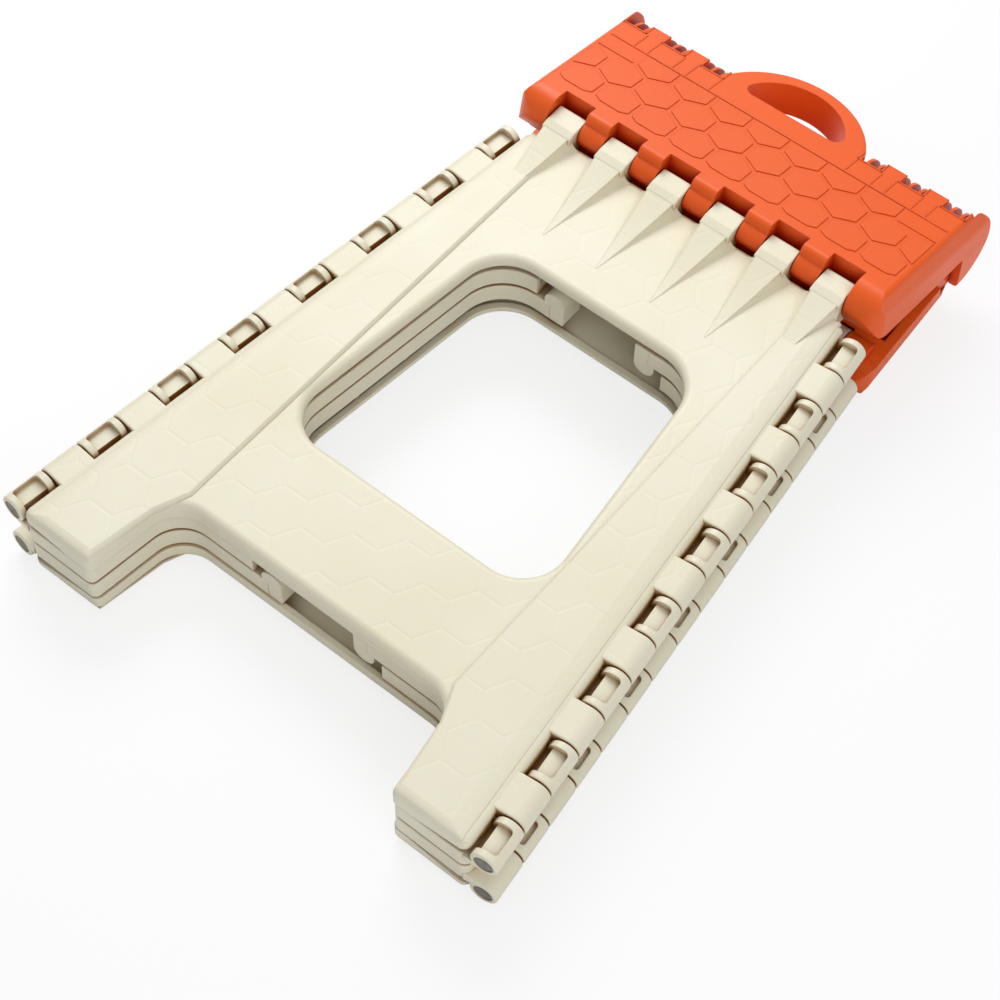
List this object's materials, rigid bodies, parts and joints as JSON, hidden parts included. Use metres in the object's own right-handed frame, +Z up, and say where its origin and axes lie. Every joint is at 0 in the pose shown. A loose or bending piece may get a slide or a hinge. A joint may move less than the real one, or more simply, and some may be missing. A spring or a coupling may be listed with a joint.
{
  "type": "folding step stool",
  "caption": "Plastic folding step stool stored folded flat: hinged seat halves with a carry handle, windowed leg panels and folding sides on long hinge pins.",
  "frame": {"origin": "middle of the bounding box in plan, at its lowest point, with the stool folded and lying on its rear leg panel", "axes": "+X along the seat's long side to the right, +Y from the feet to the carry handle, +Z up through the fold from the rear panel to the front panel"},
  "size_m": [0.3108, 0.4798, 0.0785],
  "materials": {
    "leg_plastic": "moulded, satin",
    "seat_plastic": "moulded, fine texture",
    "pin_steel": "plain"
  },
  "bodies": {
    "rear_legs": {"rear_leg_panel": "leg_plastic"},
    "rear_left_side": {"left_rear_gusset": "leg_plastic", "left_rear_side_pin": "pin_steel", "left_upper_crease_pin": "pin_steel", "left_lower_crease_pin": "pin_steel"},
    "rear_right_side": {"right_rear_gusset": "leg_plastic", "right_rear_side_pin": "pin_steel", "right_upper_crease_pin": "pin_steel", "right_lower_crease_pin": "pin_steel"},
    "front_left_side": {"left_front_gusset": "leg_plastic", "left_front_side_pin": "pin_steel"},
    "front_legs": {"front_leg_panel": "leg_plastic"},
    "front_right_side": {"right_front_gusset": "leg_plastic", "right_front_side_pin": "pin_steel"},
    "rear_seat": {"seat_half_with_recess": "seat_plastic", "rear_seat_leg_pin": "pin_steel"},
    "front_seat": {"seat_half_with_handle": "seat_plastic", "front_seat_leg_pin": "pin_steel", "right_seat_centre_pin": "pin_steel", "left_seat_centre_pin": "pin_steel"}
  },
  "joints": [
    {"name": "rear_left_side_hinge", "type": "hinge", "parent": "rear_legs", "child": "rear_left_side", "pos_m": [-0.1101, 0.12612, 0.02377], "axis": [-0.1036, -0.9946, 0], "range_deg": [0, 80]},
    {"name": "rear_right_side_hinge", "type": "hinge", "parent": "rear_legs", "child": "rear_right_side", "pos_m": [0.1101, 0.12612, 0.02377], "axis": [-0.1036, 0.9946, 0], "range_deg": [0, 80.01]},
    {"name": "left_crease_hinge", "type": "hinge", "parent": "rear_left_side", "child": "front_left_side", "pos_m": [-0.0315, 0.06612, 0.03927], "axis": [0, 1, 0], "range_deg": [0, 158.89]},
    {"name": "front_left_side_hinge", "type": "hinge", "parent": "front_left_side", "child": "front_legs", "pos_m": [-0.1101, 0.12612, 0.05477], "axis": [-0.1036, -0.9946, 0], "range_deg": [0, 80.01]},
    {"name": "front_right_side_hinge", "type": "hinge", "parent": "front_legs", "child": "front_right_side", "pos_m": [0.1101, 0.12612, 0.05477], "axis": [0.1036, -0.9946, 0], "range_deg": [0, 80.01]},
    {"name": "rear_seat_hinge", "type": "hinge", "parent": "rear_legs", "child": "rear_seat", "pos_m": [0, 0.12612, 0.02377], "axis": [1, 0, 0], "range_deg": [0, 73.01]},
    {"name": "front_seat_hinge", "type": "hinge", "parent": "front_legs", "child": "front_seat", "pos_m": [0, 0.12612, 0.05477], "axis": [-1, 0, 0], "range_deg": [0, 73.01]}
  ],
  "couplings": [
    {"joint": "rear_right_side_hinge", "follows": "rear_left_side_hinge", "ratio": 1},
    {"joint": "left_crease_hinge", "follows": "rear_left_side_hinge", "ratio": 1.986},
    {"joint": "front_left_side_hinge", "follows": "rear_left_side_hinge", "ratio": 1},
    {"joint": "front_right_side_hinge", "follows": "rear_left_side_hinge", "ratio": 1},
    {"joint": "rear_seat_hinge", "follows": "rear_left_side_hinge", "ratio": 0.9125},
    {"joint": "front_seat_hinge", "follows": "rear_left_side_hinge", "ratio": 0.9125}
  ]
}
